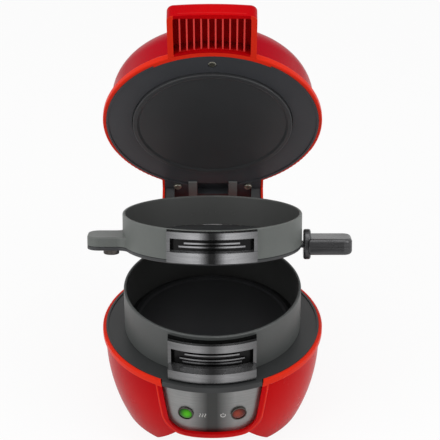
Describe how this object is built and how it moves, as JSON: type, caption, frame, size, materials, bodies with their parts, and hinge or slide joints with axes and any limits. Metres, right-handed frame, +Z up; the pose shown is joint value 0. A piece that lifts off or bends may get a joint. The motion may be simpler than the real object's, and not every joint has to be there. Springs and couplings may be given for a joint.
{
  "type": "breakfast sandwich maker",
  "caption": "Round countertop sandwich cooker: heated base, hinged cooking rings with a swing-out plate between them, and a heated lid with a ribbed front handle.",
  "frame": {"origin": "on the counter, on the vertical axis of the round base, at the underside of its foot", "axes": "+Z up, -Y towards the user (the indicator lamps), +X to the user's right (the cooking plate's handle)"},
  "size_m": [0.1824, 0.2096, 0.2936],
  "materials": {
    "red_casing": "glossy red moulding",
    "black_plastic": "black heat-resistant plastic, light satin",
    "coated_casting": "cast, with a dark grey non-stick coating",
    "coated_steel": "steel with a dark heat-proof coating",
    "grey_panel": "grey moulding with a fine vertical brushed look",
    "bezel_metal": "satin dark grey",
    "green_lens": "clear green",
    "red_lens": "clear dark red",
    "lamp_glass": "clear",
    "element_steel": "dull, heat-darkened sheath",
    "plain_aluminium": "pressed bright sheet",
    "ceramic_body": "matte heat-resistant body",
    "white_block": "white moulding",
    "lead_sleeve": "heat-resistant sleeving",
    "rubber_pad": "matte",
    "bright_steel": "plated steel"
  },
  "bodies": {
    "base": {"base_shell": "red_casing", "bottom_cover": "black_plastic", "bottom_cover_screws": "bright_steel", "rubber_feet": "rubber_pad", "front_panel": "grey_panel", "lens_bezels": "bezel_metal", "preheat_lens": "green_lens", "power_lens": "red_lens", "indicator_lamps": "lamp_glass", "lower_heat_ring": "coated_casting", "lower_heating_plate": "coated_casting", "lower_heating_element": "element_steel", "lower_reflector": "plain_aluminium", "thermostat": "ceramic_body", "thermostat_screws": "bright_steel", "thermal_fuse": "ceramic_body", "terminal_block": "white_block", "base_wiring": "lead_sleeve", "cord_gland": "rubber_pad", "lower_plate_screws": "bright_steel", "lower_deck_screws": "bright_steel", "right_hinge_post": "coated_steel", "left_hinge_post": "coated_steel", "hinge_post_screws": "bright_steel", "hinge_pin": "bright_steel"},
    "lower_ring_frame": {"lower_ring": "coated_casting", "right_lower_arm": "coated_steel", "left_lower_arm": "coated_steel", "lower_ring_rivets": "bright_steel", "lower_ring_grip": "black_plastic"},
    "upper_ring_frame": {"upper_ring": "coated_casting", "right_upper_arm": "coated_steel", "left_upper_arm": "coated_steel", "upper_ring_rivets": "bright_steel", "upper_ring_grip": "black_plastic", "pivot_pin": "bright_steel"},
    "swing_plate": {"cooking_plate": "coated_casting", "plate_grip_upper": "black_plastic", "plate_grip_lower": "black_plastic", "plate_grip_screws": "bright_steel"},
    "lid": {"lid_shell": "red_casing", "lid_handle": "red_casing", "lid_handle_screws": "bright_steel", "lid_screws": "bright_steel", "upper_heat_ring": "coated_casting", "upper_heating_plate": "coated_casting", "upper_heating_element": "element_steel", "upper_reflector": "plain_aluminium", "upper_plate_screws": "bright_steel", "right_lid_bracket": "coated_steel", "left_lid_bracket": "coated_steel", "lid_wiring": "lead_sleeve"}
  },
  "joints": [
    {"name": "lower_ring_hinge", "type": "hinge", "parent": "base", "child": "lower_ring_frame", "pos_m": [0, 0.085, 0.0964], "axis": [-1, 0, 0], "range_deg": [0, 15]},
    {"name": "upper_ring_hinge", "type": "hinge", "parent": "lower_ring_frame", "child": "upper_ring_frame", "pos_m": [0, 0.085, 0.0964], "axis": [-1, 0, 0], "range_deg": [-20.3, 7]},
    {"name": "lid_hinge", "type": "hinge", "parent": "upper_ring_frame", "child": "lid", "pos_m": [0, 0.085, 0.0964], "axis": [-1, 0, 0], "range_deg": [-46.6, 28]},
    {"name": "plate_pivot", "type": "hinge", "parent": "upper_ring_frame", "child": "swing_plate", "pos_m": [-0.07, 0.00509, 0.12537], "axis": [0, 0.3469, 0.9379], "range_deg": [-120, 0]}
  ]
}
